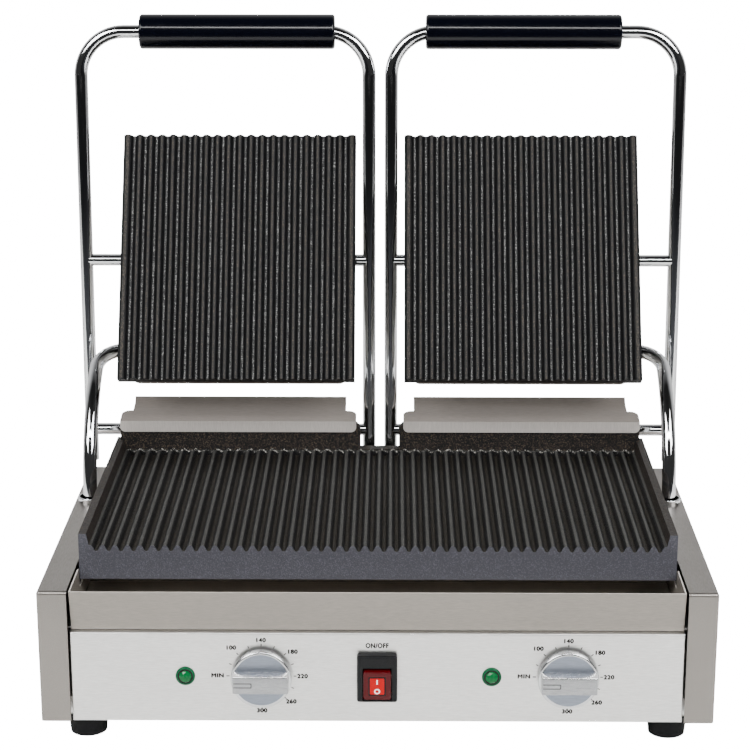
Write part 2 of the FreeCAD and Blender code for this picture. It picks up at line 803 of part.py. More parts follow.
def hinge_bracket(x):
    half = bracket_width / 2
    foot_face = base_depth - sheet
    low = bracket_bolt_z - bracket_foot_rise
    foot_top = skirt - 3
    clear = base_depth + 0.5
    tab_end = guard_front + (guard_full_depth + guard_tab_depth) * math.cos(math.radians(guard_slope)) - 1
    back = hinge_y + bracket_boss_radius
    front = foot_face + bracket_foot
    web = prism_yz([(front, low), (front + 6, low), (back, hinge_z - 6), (back, hinge_z + 8),
                    (tab_end, guard_underside(tab_end)), (clear + 4, guard_underside(clear + 4)),
                    (clear, hinge_z), (clear, foot_top), (front, foot_top)], x - half, x + half)
    foot_plate = box(x - bracket_foot_width / 2, x + bracket_foot_width / 2, foot_face,
                     foot_face + bracket_foot, low, foot_top)
    bracket = fused([web, foot_plate])
    bracket = bracket.cut(bar_x(x - half - 1, x + half + 1, hinge_y, hinge_z,
                                hinge_rod_diameter / 2 + running_gap))
    for side in (-1, 1):
        bracket = bracket.cut(bolt_hole(x + side * bracket_bolt_spread, bracket_bolt_z))
    return bracket


def case_screws():
    screws = [bolt(x, z, base_depth, bolt_length) for x, z in rear_screw_places]
    for x in bracket_x.values():
        for side in (-1, 1):
            screws.append(bolt(x + side * bracket_bolt_spread, bracket_bolt_z,
                               base_depth - sheet + bracket_foot, bolt_length + bracket_foot))
    return Part.makeCompound(screws)


def hinge_spring():
    length = spring_turns * spring_pitch
    helix = Part.makeHelix(spring_pitch, length, spring_radius)
    circle = Part.Wire(Part.makeCircle(spring_wire / 2, V(spring_radius, 0, 0), Y_AXIS))
    spring = Part.Wire(helix).makePipeShell([circle], True, True)
    spring.rotate(ORIGIN, Y_AXIS, 90)
    start = bracket_x["left_outer"] + bracket_width / 2 + spring_wire
    spring.translate(V(start, hinge_y, hinge_z))
    return spring


def stop_bumper():
    leg_face = hinge_y - (frame_tail * math.sin(math.radians(frame_lean)) + frame_bar_diameter / 2)
    low = skirt + 2
    block = box(-stop_width / 2, stop_width / 2, base_depth, leg_face - stop_gap, low, low + stop_height)
    return block.makeFillet(2.0, edges_where(block, lambda p, d: near(p.y, leg_face - stop_gap)))


# ---- lifting frames: built upright about the hinge, then leaned back ----

def frame_pose(shape):
    shape.rotate(ORIGIN, X_AXIS, -frame_lean)
    shape.translate(V(0, hinge_y, hinge_z))
    return shape


def legs():
    radius = frame_bar_diameter / 2
    return [bar_z(-frame_tail, bar_distance, x, 0, radius) for x in (-outer_leg, -inner_leg)]


def frame_bar():
    leg = frame_tail + bar_distance - frame_corner
    across = outer_leg - inner_leg - 2 * frame_corner
    steps = [(leg,), (Y_AXIS, frame_corner, 90), (across,), (Y_AXIS, frame_corner, 90), (leg,)]
    bar = bent_bar(V(-outer_leg, 0, -frame_tail), Z_AXIS, steps, frame_bar_diameter / 2)
    return frame_pose(bar)


def cross_bar(height, radius):
    bar = bar_x(-outer_leg, -inner_leg, 0, height, radius)
    for leg in legs():
        bar = bar.cut(leg)
    middle = -frame_centre
    return [s for s in bar.Solids if s.BoundBox.XMin < middle < s.BoundBox.XMax][0]


def upper_rod():
    return frame_pose(cross_bar(rod_distance, hinge_rod_diameter / 2))


def hinge_shaft():
    shaft = cross_bar(0, hinge_rod_diameter / 2)
    outer = bracket_x["left_outer"] - bracket_width / 2 - side_play
    inner = bracket_x["left_inner"] + bracket_width / 2 + side_play
    shaft = fused([shaft, bar_x(outer - collar_width, outer, 0, 0, collar_diameter / 2),
                   bar_x(inner, inner + collar_width, 0, 0, collar_diameter / 2)])
    return frame_pose(shaft)


def grip():
    x0 = -lid_x - grip_length / 2
    body = bar_x(x0, x0 + grip_length, 0, bar_distance, grip_diameter / 2)
    rims = [e for e in body.Edges if near(e.Length, math.pi * grip_diameter)]
    body = body.makeFillet(grip_end_round, rims)
    x1 = x0 + grip_length
    bore_radius = frame_bar_diameter / 2 + running_gap
    wide = bore_radius + grip_relief
    cuts = [bar_x(x0 - 1, x1 + 1, 0, bar_distance, bore_radius),
            bar_x(x0 - 1, x0 + grip_relief_length, 0, bar_distance, wide),
            bar_x(x1 - grip_relief_length, x1 + 1, 0, bar_distance, wide)]
    return frame_pose(body.cut(fused(cuts)))


# ---- lids: built closed, with the rod as the origin, then swung open ----

def lid_pose(shape):
    shape.rotate(ORIGIN, X_AXIS, -lid_travel)
    shape.translate(V(-lid_x, rod_y, rod_z))
    return shape


def cover_screw_holes():
    radius = (cover_screw_diameter + fit_gap) / 2
    depth = cover_screw_length + 2
    holes = []
    for x in (-cover_screw_spread, cover_screw_spread):
        holes.append(bar_y(lid_front, cover_front + depth, x, cover_screw_z, radius))
        holes.append(bar_y(cover_rear - depth, lid_rear, x, cover_screw_z, radius))
    return holes[0].multiFuse(holes[1:])


def upper_plate():
    count = int((lid_width - 2 * upper_groove_margin) / rib_pitch + 0.01) + 1
    first = -(count - 2) * rib_pitch / 2
    grooves = rib_edges([first + i * rib_pitch for i in range(count - 1)], 0, rib_depth, groove_half)
    start = grooves[0].Vertexes[0].Point
    half = lid_width / 2
    corner = lid_edge_round
    thick = lid_plate_thickness
    left = [V(start.x - groove_ledge, 0, 0), V(-half + corner, 0, 0), V(-half, 0, -corner),
            V(-half, 0, -thick)]
    right = [V(-p.x, 0, p.z) for p in left]
    end = V(-start.x, 0, start.z)
    outline = Part.makePolygon([end] + right + left[::-1] + [start])
    plate = Part.Face(Part.Wire(grooves + outline.Edges)).extrude(V(0, lid_length, 0))
    plate.rotate(ORIGIN, Y_AXIS, 180)
    plate.translate(V(0, lid_front, lid_face))

    x1 = cover_half - cover_sheet - cover_rim_gap
    y0 = cover_front + cover_sheet + cover_rim_gap
    y1 = cover_rear - cover_sheet - cover_rim_gap
    rim = box(-x1, x1, y0, y1, lid_back, lid_back + cover_rim_height)
    rim = rim.makeFillet(cover_round, edges_where(rim, lambda p, d: near(abs(d.z), 1)))
    wall = cover_rim_wall
    rim = rim.cut(box(-x1 + wall, x1 - wall, y0 + wall, y1 - wall, lid_back - 1, lid_back + 40))
    pieces = [plate, rim]
    for side in (-1, 1):
        x = side * lug_spacing / 2
        pieces.append(box(x - lug_width / 2, x + lug_width / 2, -lug_radius, lug_radius, lid_back, 0))
        pieces.append(bar_x(x - lug_width / 2, x + lug_width / 2, 0, 0, lug_radius))
    body = fused(pieces)
    body = body.cut(bar_x(-half, half, 0, 0, hinge_rod_diameter / 2 + running_gap))
    return lid_pose(body.cut(cover_screw_holes()))


def upper_cover():
    def shell(inset):
        block = box(-cover_half + inset, cover_half - inset, cover_front + inset, cover_rear - inset,
                    lid_back - (1 if inset else 0), cover_top - inset)
        return block.makeFillet(cover_round - inset, edges_where(
            block, lambda p, d: near(abs(d.z), 1) or near(p.z, cover_top - inset)))

    cover = shell(0).cut(shell(cover_sheet))
    cuts = [bar_x(-lid_width, lid_width, 0, 0, hinge_rod_diameter / 2 + cover_rod_gap),
            bar_x(-lid_width, 0, swivel_y, swivel_z, (swivel_spigot + fit_gap) / 2), cover_screw_holes()]
    return lid_pose(cover.cut(cuts[0].multiFuse(cuts[1:])))


def cover_screws():
    screws = []
    radius = cover_screw_diameter / 2
    head_radius = cover_screw_head / 2
    for x in (-cover_screw_spread, cover_screw_spread):
        rear = bar_y(cover_rear - cover_screw_length, cover_rear, x, cover_screw_z, radius)
        rear_head = bar_y(cover_rear, cover_rear + cover_screw_head_height, x, cover_screw_z, head_radius)
        front = bar_y(cover_front, cover_front + cover_screw_length, x, cover_screw_z, radius)
        front_head = bar_y(cover_front - cover_screw_head_height, cover_front, x, cover_screw_z, head_radius)
        screws += [fused([rear, rear_head]), fused([front, front_head])]
    return lid_pose(Part.makeCompound(screws))


def upper_heater():
    x0 = -(cover_half - cover_sheet - cover_rim_wall - upper_heater_margin)
    inner = upper_heater_loop
    side_turn = (-x0 - inner) / 2
    rear = cover_rear - upper_heater_ends
    front = cover_front + upper_heater_ends + side_turn
    inner_rear = rear - inner - 4.0
    steps = [(rear - front,), (Z_AXIS, side_turn, 180), (inner_rear - front,), (Z_AXIS * -1, inner, 180),
             (inner_rear - front,), (Z_AXIS, side_turn, 180), (rear - front,)]
    z = lid_back + upper_heater_diameter / 2 + fit_gap
    return lid_pose(bent_bar(V(x0, rear, z), V(0, -1, 0), steps, upper_heater_diameter / 2))


def tube_swivel():
    face = -cover_half
    ring = bar_x(face - swivel_length, face, swivel_y, swivel_z, swivel_diameter / 2)
    spigot = bar_x(face, face + swivel_spigot_length, swivel_y, swivel_z, swivel_spigot / 2)
    bore = bar_x(face - 20, face + 20, swivel_y, swivel_z, tube_diameter / 2 + running_gap)
    return lid_pose(fused([ring, spigot]).cut(bore))


# ---- cable tubes ----

def tube_geometry():
    """Where the tube leaves the lid, the centre of its arc, and the arc's two end angles."""
    turn = math.radians(-lid_travel)
    end_y = rod_y + swivel_y * math.cos(turn) - swivel_z * math.sin(turn)
    end_z = rod_z + swivel_y * math.sin(turn) + swivel_z * math.cos(turn)
    hole = (tube_hole_y + tube_rest_offset, deck + ring_height / 2)
    far = math.hypot(tube_arc_radius, tube_bend_radius)
    centre = circles_meet(hole, tube_arc_radius, (end_y, end_z), far)
    to_end = math.degrees(math.atan2(end_z - centre[1], end_y - centre[0]))
    top = to_end + math.degrees(math.atan2(tube_bend_radius, tube_arc_radius))
    at_hole = math.degrees(math.atan2(hole[1] - centre[1], hole[0] - centre[0])) % 360
    return (end_y, end_z), centre, top, at_hole


def cable_tube():
    end, centre, top, at_hole = tube_geometry()
    start = V(-lid_x - cover_half + tube_end_inside, end[0], end[1])
    straight = tube_x - tube_bend_radius - (lid_x + cover_half - tube_end_inside)
    along = V(0, math.sin(math.radians(top)), -math.cos(math.radians(top)))
    bend_axis = V(-1, 0, 0).cross(along * -1)
    sweep = at_hole + tube_tail - top
    steps = [(straight,), (bend_axis, tube_bend_radius, 90), (X_AXIS, tube_arc_radius, sweep)]
    outside = bent_bar(start, V(-1, 0, 0), steps, tube_diameter / 2)
    inside = bent_bar(start, V(-1, 0, 0), steps, tube_diameter / 2 - tube_wall)
    return outside.cut(inside)


def tube_ring():
    ring = bar_z(deck, deck + ring_height, -tube_x, tube_hole_y, ring_bore / 2 + ring_wall)
    rim = [e for e in ring.Edges if near(e.CenterOfMass.z, deck + ring_height) and e.Length > 10]
    ring = ring.makeFillet(ring_wall * 0.6, rim)
    neck_radius = (ring_bore + ring_wall - fit_gap) / 2
    neck = bar_z(deck - sheet - ring_neck, deck, -tube_x, tube_hole_y, neck_radius)
    return fused([ring, neck]).cut(bar_z(deck - 20, deck + 20, -tube_x, tube_hole_y, ring_bore / 2))


# ---- assembly ----

def build():
    nodes = {"front_panel": front_panel(), "rear_panel": rear_panel(), "base_pan": base_pan(),
             "foot_screws": foot_screws(), "drip_tray": drip_tray(), "lower_plate": lower_plate(),
             "heater_clamps": heater_clamps(), "reflector": reflector(), "lagging": lagging(),
             "switch_housing": switch_housing(), "rocker": rocker(), "terminal_block": terminal_block(),
             "cable_gland": cable_gland(), "case_screws": case_screws(), "stop_bumper": stop_bumper(),
             "tray_rails": tray_rails()}
    paired = {"side_panel": side_panel, "lower_heater": lower_heater, "guard": guard,
              "hinge_spring": hinge_spring, "frame_bar": frame_bar, "upper_rod": upper_rod,
              "hinge_shaft": hinge_shaft, "grip": grip, "upper_plate": upper_plate,
              "upper_cover": upper_cover, "cover_screws": cover_screws, "upper_heater": upper_heater,
              "tube_swivel": tube_swivel,
              "cable_tube": cable_tube, "tube_ring": tube_ring}
    for name, make in paired.items():
        left = make()
        nodes[name + "_left"] = left
        nodes[name + "_right"] = mirrored(left)
    for name, (x, y) in foot_places.items():
        nodes["foot_" + name] = foot(x, y)
    for name, x in bracket_x.items():
        nodes["hinge_bracket_" + name] = hinge_bracket(x)
    for name, x in knob_x.items():
        nodes["thermostat_" + name] = thermostat(x)
        nodes["knob_" + name] = knob(x)
        nodes["pilot_lamp_" + name] = pilot_lamp(x - lamp_to_knob)
    return nodes


def write(nodes):
    whole = Part.makeCompound(list(nodes.values())).optimalBoundingBox(False, False)
    shift = -(whole.YMin + whole.YMax) / 2
    os.makedirs("parts", exist_ok=True)
    for name, shape in nodes.items():
        shape.translate(V(0, shift, 0))
        if not shape.isValid():
            print("invalid shape:", name)
        shape.exportStep("parts/" + name + ".step")
    print("nodes", len(nodes))
    print("y shift", round(shift, 3), "size", round(whole.XLength, 2), round(whole.YLength, 2),
          round(whole.ZLength, 2), "lowest", round(whole.ZMin, 3))
    print("hinge", round(hinge_y + shift, 3), round(hinge_z, 3))
    print("rod", round(rod_y + shift, 3), round(rod_z, 3))
    end = tube_geometry()[0]
    print("tube end", round(end[0] + shift, 3), round(end[1], 3))
    print("lift", round(lift_travel, 3), "float", round(float_travel, 3), "whole", round(lid_travel, 3))
    print("knob", round(front_face + shift, 3), round(control_z, 3))
    print("rocker", round(rocker_y + shift, 3), round(rocker_z, 3))


write(build())
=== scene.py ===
import json
import math

import bmesh
import bpy
from mathutils import Matrix, Vector

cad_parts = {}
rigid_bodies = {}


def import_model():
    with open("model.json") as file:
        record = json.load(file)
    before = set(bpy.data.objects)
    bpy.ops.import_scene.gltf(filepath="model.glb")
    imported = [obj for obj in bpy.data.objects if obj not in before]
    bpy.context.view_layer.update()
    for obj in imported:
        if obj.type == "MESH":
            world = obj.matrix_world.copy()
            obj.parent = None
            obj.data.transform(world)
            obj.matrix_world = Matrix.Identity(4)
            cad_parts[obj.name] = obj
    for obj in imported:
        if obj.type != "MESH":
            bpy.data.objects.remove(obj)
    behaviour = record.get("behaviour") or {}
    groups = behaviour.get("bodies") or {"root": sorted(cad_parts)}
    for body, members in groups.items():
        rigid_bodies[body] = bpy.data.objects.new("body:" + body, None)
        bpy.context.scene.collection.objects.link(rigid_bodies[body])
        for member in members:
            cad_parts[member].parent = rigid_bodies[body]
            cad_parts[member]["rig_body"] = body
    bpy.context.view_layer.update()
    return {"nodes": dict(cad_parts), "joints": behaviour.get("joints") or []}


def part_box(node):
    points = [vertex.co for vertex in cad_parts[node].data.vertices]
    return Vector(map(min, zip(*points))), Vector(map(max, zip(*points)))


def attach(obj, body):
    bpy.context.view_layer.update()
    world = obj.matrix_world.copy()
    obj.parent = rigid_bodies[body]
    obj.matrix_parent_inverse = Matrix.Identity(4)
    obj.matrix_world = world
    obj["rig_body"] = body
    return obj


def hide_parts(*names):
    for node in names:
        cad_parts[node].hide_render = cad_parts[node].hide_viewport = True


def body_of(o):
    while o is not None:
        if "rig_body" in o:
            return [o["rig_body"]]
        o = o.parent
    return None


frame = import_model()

# Double contact grill: finishes, printed dials, knobs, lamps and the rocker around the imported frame.
# Metres, +Z up, the front faces -Y.
joints = {joint["name"]: joint for joint in frame["joints"]}
mm = 0.001
sides = ("left", "right")
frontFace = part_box("front_panel")[0].y
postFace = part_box("side_panel_left")[0].y
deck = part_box("side_panel_left")[1].z
print("frame loaded with", len(frame["nodes"]), "nodes")


def linear(hexText):  # sRGB hex to scene-linear colour
    channels = []
    for i in (0, 2, 4):
        c = int(hexText[i:i + 2], 16) / 255
        channels.append(c / 12.92 if c <= 0.04045 else ((c + 0.055) / 1.055) ** 2.4)
    return (*channels, 1.0)


def darker(hexText, share):  # the same hue with each channel cut to a share
    return "".join("%02X" % int(int(hexText[i:i + 2], 16) * share) for i in (0, 2, 4))


def addNode(tree, kind, settings=None, inputs=None):  # a node with its settings, values and links
    node = tree.nodes.new(kind)
    for name, value in (settings or {}).items():
        setattr(node, name, value)
    for name, value in (inputs or {}).items():
        if isinstance(value, bpy.types.NodeSocket):
            tree.links.new(value, node.inputs[name])
        else:
            node.inputs[name].default_value = value
    return node


def newMaterial(name, colour, metallic, roughness, **sockets):
    material = bpy.data.materials.new(name)
    material.use_nodes = True
    tree = material.node_tree
    shader = tree.nodes["Principled BSDF"]
    shader.inputs["Base Color"].default_value = linear(colour)
    shader.inputs["Metallic"].default_value = metallic
    shader.inputs["Roughness"].default_value = roughness
    for socket, value in sockets.items():
        shader.inputs[socket.replace("_", " ")].default_value = value
    return material, tree, shader


def noiseAt(tree, grainMm, detail=3.0, roughness=0.55):  # grainMm: size of one grain along X, Y and Z
    coords = addNode(tree, "ShaderNodeTexCoord").outputs["Object"]
    scale = tuple(1000 / g for g in grainMm)
    place = addNode(tree, "ShaderNodeMapping", inputs={"Vector": coords, "Scale": scale}).outputs[0]
    return addNode(tree, "ShaderNodeTexNoise", inputs={
        "Vector": place, "Scale": 1.0, "Detail": detail, "Roughness": roughness}).outputs["Fac"]


def spread(tree, value, low, high, start=0.3, end=0.7):  # maps a 0..1 pattern onto a range of values
    return addNode(tree, "ShaderNodeMapRange", inputs={
        "Value": value, "From Min": start, "From Max": end, "To Min": low, "To Max": high}).outputs[0]


def combine(tree, operation, first, second=0.0):  # one Math node
    return addNode(tree, "ShaderNodeMath", {"operation": operation}, {0: first, 1: second}).outputs[0]


def blendColours(tree, factor, first, second, mode="MIX"):
    node = addNode(tree, "ShaderNodeMix", {"data_type": "RGBA", "blend_type": mode}, {0: factor})
    for index, value in ((6, first), (7, second)):  # the two colour sockets
        if isinstance(value, bpy.types.NodeSocket):
            tree.links.new(value, node.inputs[index])
        else:
            node.inputs[index].default_value = linear(value)
    return node.outputs[2]


def bumpFrom(tree, height, distanceMm, strength=1.0, under=None):
    inputs = {"Height": height, "Distance": distanceMm * mm, "Strength": strength}
    if under is not None:
        inputs["Normal"] = under
    return addNode(tree, "ShaderNodeBump", inputs=inputs).outputs[0]


# Stainless sheet, belt-brushed: fine scratches one way give a soft streaky sheen. The real scratches are
# about 0.1 mm wide, too fine to show, so they are drawn 0.6 mm wide and 7 mm long.
def brushedSheet(name, colour, roughness, along, strength, metallic=1.0):
    material, tree, shader = newMaterial(name, colour, metallic, roughness)
    grain = [0.6, 0.6, 0.6]
    grain[along] = 7.0
    streaks = noiseAt(tree, grain, 3.0, 0.6)
    clouds = noiseAt(tree, (45.0, 45.0, 45.0), 2.0)
    rough = combine(tree, "ADD", spread(tree, streaks, roughness - 0.04, roughness + 0.05),
                    spread(tree, clouds, -0.02, 0.03))
    tree.links.new(rough, shader.inputs["Roughness"])
    tint = blendColours(tree, spread(tree, streaks, 0.0, 1.0), colour, darker(colour, 0.92))
    tree.links.new(tint, shader.inputs["Base Color"])
    tree.links.new(bumpFrom(tree, streaks, 0.01, strength), shader.inputs["Normal"])
    return material


# Chrome plate on drawn steel bar: mirror bright, with the bar's faint lengthwise drawing lines.
def chromePlate():
    material, tree, shader = newMaterial("chromePlatedBar", "DCDDDF", 1.0, 0.05)
    lines = noiseAt(tree, (1.5, 1.5, 60.0), 2.0)
    tree.links.new(spread(tree, lines, 0.03, 0.08), shader.inputs["Roughness"])
    return material


def plain(name, colour, metallic, roughness, grainMm, bumpMm, **sockets):
    material, tree, shader = newMaterial(name, colour, metallic, roughness, **sockets)
    grain = noiseAt(tree, [grainMm] * 3, 3.0)
    tree.links.new(spread(tree, grain, roughness * 0.85, roughness * 1.2), shader.inputs["Roughness"])
    tree.links.new(bumpFrom(tree, grain, bumpMm, 0.4), shader.inputs["Normal"])
    return material


# Cast iron, sand cast and seasoned: black and gritty, with sand grit near 0.6 mm drawn about 1 mm. The rib
# crests and groove bottoms carry paler bands, greyer and browner on the lower plate: painted highlights
# along the ribs.
castLower = {
    "crest": "2B2B2A", "crestSpark": "4E4D49", "flank": "070708", "root": "171512", "rootSpark": "3C372F",
    # front: a paler grey-blue copy of the skin for the plate's front face, painted light
    "skin": "0C0C0E", "skinSpark": "4A4036", "front": "3E3E44", "frontSpark": "52525A",
    "gritMm": 0.9, "lumpMm": 3.0, "bumpMm": 0.34, "roughness": 0.55, "glintFrom": 0.52,
    "rootShare": 0.22, "crestShare": 0.90,
}
castUpper = {
    "crest": "0D0C0B", "crestSpark": "4E453B", "flank": "040406", "root": "090A0C", "rootSpark": "9C9B99",
    "skin": "08080A", "skinSpark": "2A2928", "front": "0B0B0C", "frontSpark": "3A3835",
    "gritMm": 0.9, "lumpMm": 3.0, "bumpMm": 0.14, "roughness": 0.5, "glintFrom": 0.53,
    "rootShare": 0.045, "crestShare": 0.96,
}
# Millimetres: the lower crests stand above the deck, the upper ones below the rod of the closed lid.
ribs = {"lowerTip": 19.0, "upperTip": -36.0, "depth": 5.0, "pitch": 10.35, "wallDepth": 10.0,
        "scallopLevel": 0.95, "scallopWave": 0.28}


def castIron(name, look, turn, origin, tip, away, frontY, wallY):  # away: +1 where the tips point down
    material, tree, shader = newMaterial(name, look["skin"], 0.0, look["roughness"], Specular_IOR_Level=0.25)
    coords = addNode(tree, "ShaderNodeTexCoord").outputs["Object"]
    back = Matrix.Rotation(turn, 3, "X")  # brings the open lid back to where its ribs lie level
    place = addNode(tree, "ShaderNodeMapping", inputs={
        "Vector": coords, "Location": -(back @ Vector(origin)), "Rotation": (turn, 0, 0)}).outputs[0]
    split = addNode(tree, "ShaderNodeSeparateXYZ", inputs={0: place})
    share = addNode(tree, "ShaderNodeMapRange", {"clamp": False}, {  # 0 in a groove bottom, 1 on a crest
        "Value": split.outputs[2], "From Min": tip + away * ribs["depth"] * mm, "From Max": tip}).outputs[0]
    grit = noiseAt(tree, [look["gritMm"]] * 3, 2.0, 0.6)
    lumps = noiseAt(tree, [look["lumpMm"]] * 3, 3.0, 0.6)
    # Paler dots in each colour's Spark tone: the sand grit is real, its glints are painted highlights.
    gritGlint = spread(tree, grit, 0.0, 1.0, look["glintFrom"], look["glintFrom"] + 0.12)

    def glinted(key):
        return blendColours(tree, gritGlint, look[key], look[key + "Spark"])

    # Bands on the crests and in the groove bottoms: painted highlights along the ribs; the flanks between
    # stay black.
    rootHighlightBand = spread(tree, share, 1.0, 0.0, look["rootShare"] * 0.4, look["rootShare"])
    crestHighlightBand = spread(tree, share, 0.0, 1.0, look["crestShare"], look["crestShare"] * 0.5 + 0.5)
    above = spread(tree, share, 0.0, 1.0, 1.02, 1.12)
    colour = blendColours(tree, rootHighlightBand, look["flank"], glinted("root"))
    colour = blendColours(tree, crestHighlightBand, colour, glinted("crest"))
    colour = blendColours(tree, above, colour, glinted("skin"))
    below = spread(tree, share, 1.0, 0.0, -0.15, -0.05)
    colour = blendColours(tree, below, colour, glinted("skin"))
    if wallY is not None:  # painted highlights: small bright scallops where the ribs run out against the rear wall
        phase = combine(tree, "MULTIPLY", split.outputs[0], math.tau / (ribs["pitch"] * mm))
        edge = combine(tree, "MULTIPLY_ADD", combine(tree, "SINE", phase), ribs["scallopWave"])
        edge.node.inputs[2].default_value = ribs["scallopLevel"]
        gap = combine(tree, "ABSOLUTE", combine(tree, "SUBTRACT", share, edge))
        nearWall = spread(tree, split.outputs[1], 0.0, 1.0, wallY - 1.2 * mm, wallY - 0.4 * mm)
        scallopHighlight = combine(tree, "MULTIPLY", nearWall, spread(tree, gap, 1.0, 0.0, 0.08, 0.22))
        colour = blendColours(tree, combine(tree, "MULTIPLY", scallopHighlight, gritGlint), colour, "C9C6BE")
    # The front face gets the paler grey-blue copy of the skin: painted light.
    if frontY is not None:
        paintedLitFront = spread(tree, split.outputs[1], 1.0, 0.0, frontY + 0.3 * mm, frontY + 1.0 * mm)
        colour = blendColours(tree, paintedLitFront, colour, glinted("front"))
    tree.links.new(colour, shader.inputs["Base Color"])
    rough = combine(tree, "ADD", spread(tree, grit, look["roughness"] - 0.1, look["roughness"] + 0.15),
                    spread(tree, lumps, -0.05, 0.05))
    tree.links.new(rough, shader.inputs["Roughness"])
    coarse = bumpFrom(tree, lumps, look["bumpMm"] * 2.2, 0.7)
    tree.links.new(bumpFrom(tree, grit, look["bumpMm"], 1.0, coarse), shader.inputs["Normal"])
    return material


# One stainless steel in tones set part by part: the near-white front panel, the paler covers and the darker
# posts, tray and guards are painted light and shade; brushing and roughness follow each finish.
materials = {
    "front": brushedSheet("stainlessBrushedFront", "E6E5E3", 0.32, 0, 0.25),
    "side": brushedSheet("stainlessBrushedSide", "8E8984", 0.34, 1, 0.2),
    "tray": brushedSheet("stainlessPlainTray", "8D8780", 0.40, 0, 0.03, 0.6),
    "guard": brushedSheet("stainlessRolledGuard", "938B84", 0.46, 0, 0.03, 0.55),
    "cover": brushedSheet("stainlessBrushedCover", "C4C1BC", 0.30, 0, 0.15),
    # the guards' front lip: a paler copy of the steel, painted highlight
    "lip": brushedSheet("stainlessLipPaintedHighlight", "C2BCB6", 0.5, 2, 0.1, 0.3),
    # the tray's inside: a paler copy of the steel, painted light in its shade
    "pan": brushedSheet("stainlessTrayInsidePaintedLight", "C4BEB6", 0.55, 0, 0.03, 0.25),
    "chrome": chromePlate(),
}
# Phenolic, compression moulded and polished: deep gloss black.
materials["phenolic"] = plain("phenolicMoulded", "03040A", 0.0, 0.14, 6.0, 0.004, Specular_IOR_Level=0.28)
# Rubber, moulded: matt black with a faint bloom.
materials["rubber"] = plain("rubberMoulded", "050608", 0.0, 0.55, 2.0, 0.03, Specular_IOR_Level=0.12)
# Nylon, injection moulded with a fine spark texture.
materials["nylonBlack"] = plain("nylonMouldedBlack", "07080A", 0.0, 0.3, 0.8, 0.02, Specular_IOR_Level=0.2)
materials["nylonNatural"] = plain("nylonMouldedNatural", "DAD6CA", 0.0, 0.45, 1.0, 0.01)
# Zinc-plated steel: pale, slightly yellow and cloudy.
materials["zinc"] = plain("steelZincPlated", "B9B9B4", 1.0, 0.3, 3.0, 0.01)
# Spring steel, oil tempered: dark with a faint blue.
materials["spring"] = plain("springSteelOiled", "5E5C59", 1.0, 0.28, 2.0, 0.01)
# Nickel tube heater: stained brown by heat.
materials["heater"] = plain("heaterTubeStained", "7A6E60", 1.0, 0.4, 8.0, 0.02)
# Mineral wool blanket.
materials["lagging"] = plain("mineralWool", "D8D2C2", 0.0, 0.95, 2.5, 0.6)
# Aluminium, turned then belt-brushed across: the knob's bright bar and rim, and its darker faces.
materials["knobBar"] = brushedSheet("aluminiumBrushedBar", "A3A4A6", 0.26, 0, 0.1)
# The bar's upward faces get a near-white copy of the aluminium: painted highlight.
materials["knobEdge"] = brushedSheet("aluminiumBarTopPaintedHighlight", "F6F6F7", 0.24, 0, 0.05)
materials["knobRim"] = plain("aluminiumTurnedRim", "C9CACC", 1.0, 0.22, 6.0, 0.0005)
materials["knobFace"] = brushedSheet("aluminiumBrushedFace", "8C929D", 0.36, 0, 0.6)
# Ink, screen printed: flat black-brown.
materials["ink"] = plain("inkScreenPrinted", "100E0C", 0.0, 0.6, 1.0, 0.001, Specular_IOR_Level=0.1)
# White pad-printed ink with a faint emission: the print is real, its glow is painted light.
materials["inkWhite"] = plain("inkPadPrintedWhiteGlowing", "F2ECEC", 0.0, 0.5, 1.0, 0.001, Emission_Strength=0.25)
# Polycarbonate, tinted and moulded: glossy and dark in its depth.
tinted = (  # material, name, colour, roughness, bump in mm, specular level
    ("redDark", "polycarbonateRedDark", "420307", 0.16, 0.004, 0.2),
    ("redWindow", "polycarbonateRedWindow", "A8050B", 0.12, 0.004, 0.1),
    ("redShade", "polycarbonateRedShade", "160103", 0.2, 0.004, 0.2),
    ("greenRing", "polycarbonateGreenRing", "064A2C", 0.1, 0.002, 0.15),
    ("greenJewel", "polycarbonateGreenJewel", "04552A", 0.06, 0.002, 0.18),
    ("greenShade", "polycarbonateGreenShade", "010B06", 0.15, 0.002, 0.2),
)
for key, name, colour, roughness, bumpMm, level in tinted:
    materials[key] = plain(name, colour, 0.0, roughness, 3.0, bumpMm, Specular_IOR_Level=level)

finishes = {
    "front": ("front_panel", "base_pan", "rear_panel", "tray_rails"),
    "side": ("side_panel_left", "side_panel_right"),
    "tray": ("drip_tray", "reflector"),
    "guard": ("guard_left", "guard_right"),
    "cover": ("upper_cover_left", "upper_cover_right"),
    "chrome": ("frame_bar_left", "frame_bar_right", "upper_rod_left", "upper_rod_right",
               "hinge_shaft_left", "hinge_shaft_right", "cable_tube_left", "cable_tube_right",
               "tube_ring_left", "tube_ring_right", "tube_swivel_left", "tube_swivel_right"),
    "phenolic": ("grip_left", "grip_right"),
    "rubber": ("foot_front_left", "foot_front_right", "foot_rear_left", "foot_rear_right", "stop_bumper"),
    "nylonBlack": ("switch_housing", "cable_gland"),
    "nylonNatural": ("terminal_block",),
    "zinc": ("foot_screws", "case_screws", "cover_screws_left", "cover_screws_right", "thermostat_left",
             "thermostat_right", "hinge_bracket_left_outer", "hinge_bracket_left_inner",
             "hinge_bracket_right_inner", "hinge_bracket_right_outer"),
    "spring": ("hinge_spring_left", "hinge_spring_right"),
    "heater": ("lower_heater_left", "lower_heater_right", "upper_heater_left", "upper_heater_right",
               "heater_clamps"),
    "lagging": ("lagging",),
}


def giveMaterial(nodeName, material):
    for slot in frame["nodes"][nodeName].material_slots:
        slot.material = material


for finish, nodeNames in finishes.items():
    for nodeName in nodeNames:
        giveMaterial(nodeName, materials[finish])

